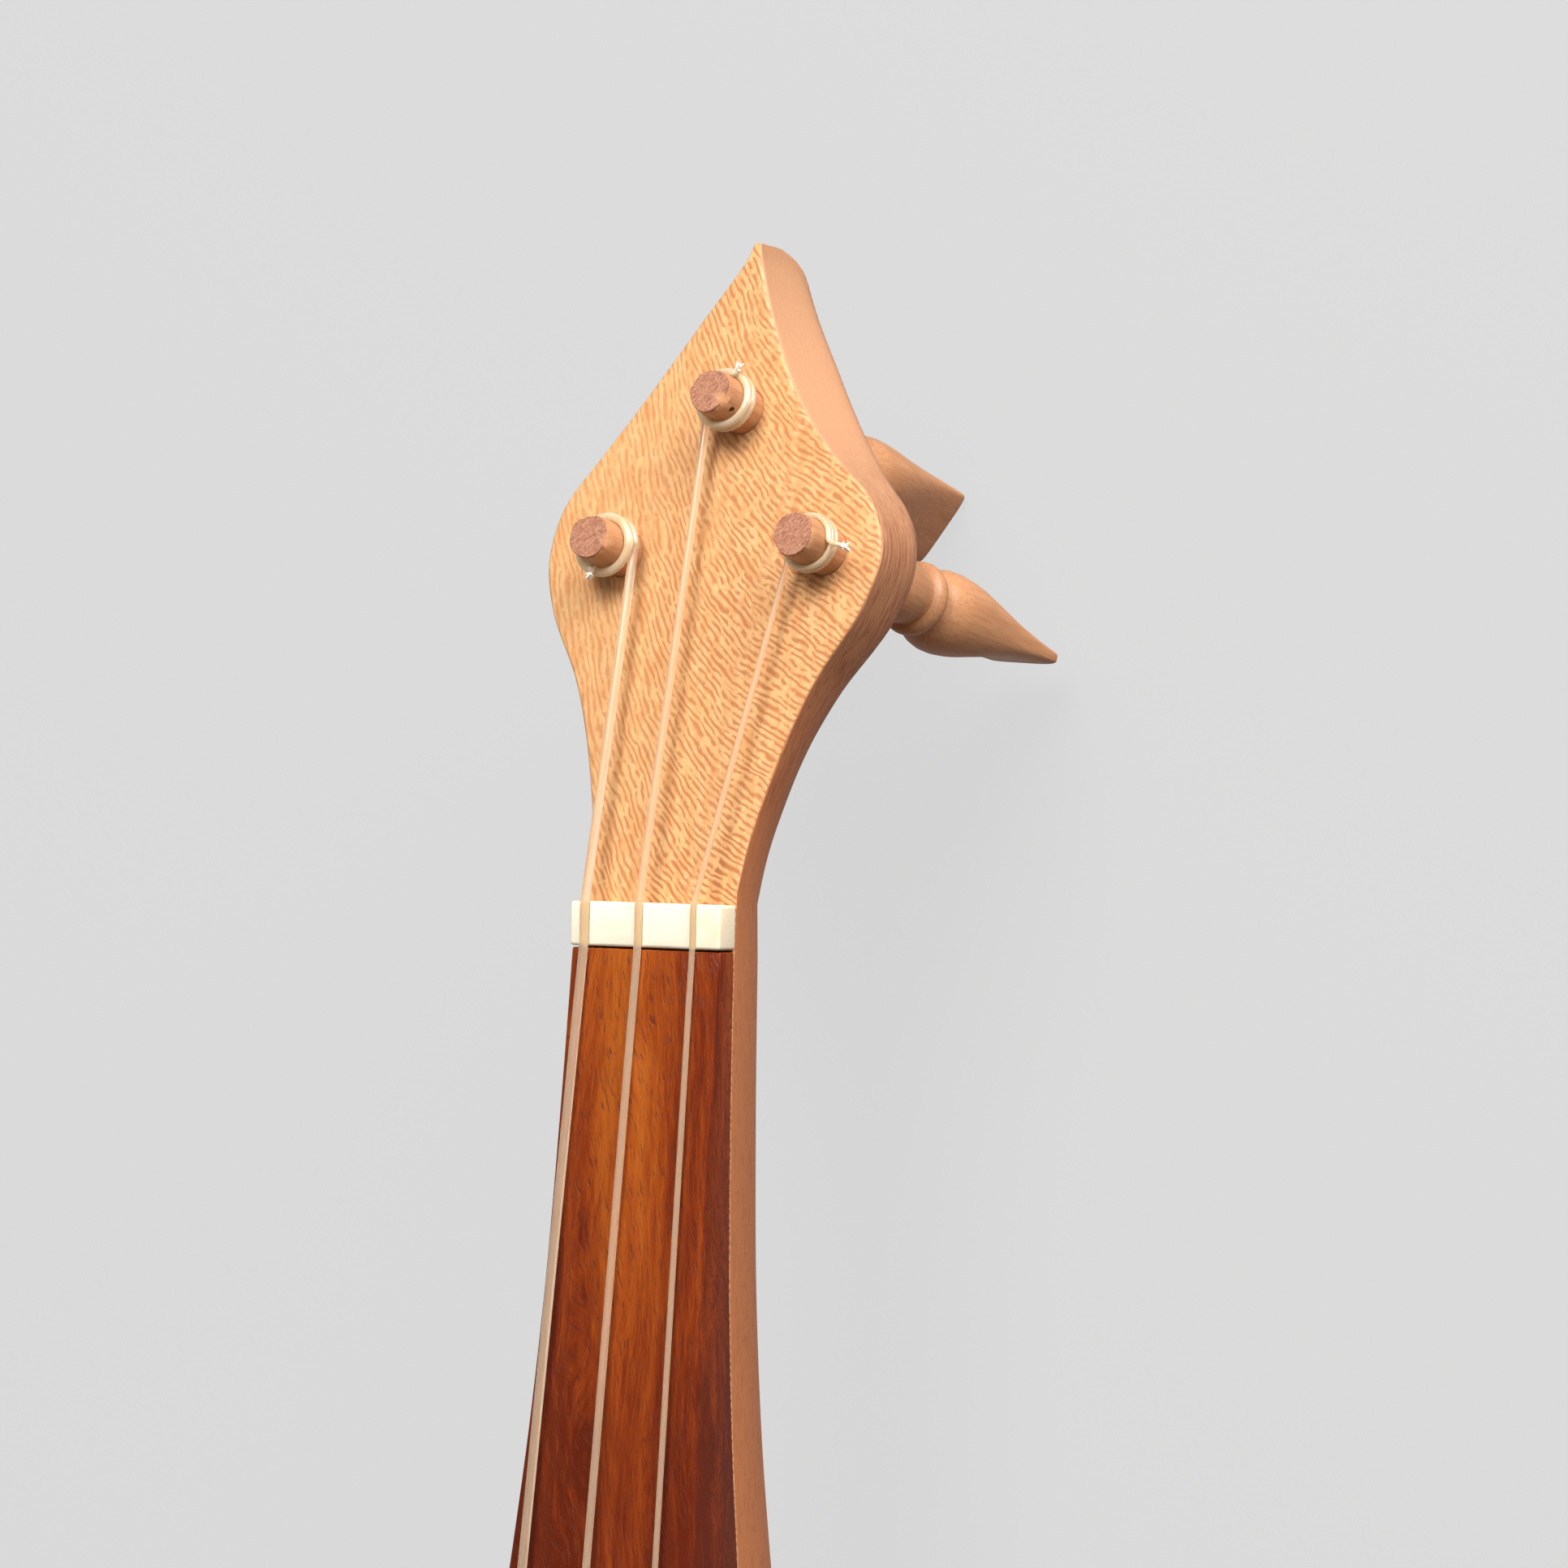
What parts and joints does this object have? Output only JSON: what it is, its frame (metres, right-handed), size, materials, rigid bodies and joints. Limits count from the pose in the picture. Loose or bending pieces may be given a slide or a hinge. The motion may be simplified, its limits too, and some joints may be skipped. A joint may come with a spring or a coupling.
{
  "type": "rebec",
  "caption": "Small pear-shaped bowed lute with a carved round back, tilted spade-shaped head, rear friction pegs, wedge fingerboard and flat soundboard.",
  "frame": {"origin": "middle of the foot of the bounding box, the instrument lying on its back", "axes": "+Y runs along the neck toward the head, +Z points out of the soundboard, +X toward the thin string"},
  "size_m": [0.1758, 0.5564, 0.1145],
  "materials": {
    "lacewood": "satin, dense short dark flecks on the head's face, plain lengthwise grain on the sides",
    "spruce": "satin, straight fine grain",
    "rosewood": "glossy red-brown with dark streaks and open pores",
    "bone": "polished cream bone",
    "maple": "satin",
    "pearwood": "satin, with rough end grain",
    "gut": "cream gut cord, slightly frayed",
    "string": "clear, slightly beige monofilament"
  },
  "bodies": {
    "instrument": {"bass_bar": "spruce", "brace_lower": "spruce", "brace_upper": "spruce", "bridge": "maple", "carved_body": "lacewood", "end_button": "rosewood", "fingerboard": "rosewood", "knot_left": "gut", "knot_middle": "gut", "knot_right": "gut", "nut": "bone", "soundboard": "spruce", "soundpost": "spruce", "string_left": "string", "string_middle": "string", "string_right": "string", "tail_gut": "gut", "tail_saddle": "rosewood", "tailpiece": "rosewood"},
    "peg_left_body": {"peg_left": "pearwood", "winding_left": "gut"},
    "peg_middle_body": {"peg_middle": "pearwood", "winding_middle": "gut"},
    "peg_right_body": {"peg_right": "pearwood", "winding_right": "gut"}
  },
  "joints": [
    {"name": "peg_left_turn", "type": "hinge", "parent": "instrument", "child": "peg_left_body", "pos_m": [-0.0173, 0.22809, 0.06429], "axis": [0, 0.2317, 0.9728], "continuous": true},
    {"name": "peg_middle_turn", "type": "hinge", "parent": "instrument", "child": "peg_middle_body", "pos_m": [0.0022, 0.25089, 0.05948], "axis": [0, 0.2605, 0.9655], "continuous": true},
    {"name": "peg_right_turn", "type": "hinge", "parent": "instrument", "child": "peg_right_body", "pos_m": [0.0221, 0.22809, 0.06429], "axis": [0, 0.2419, 0.9703], "continuous": true}
  ]
}
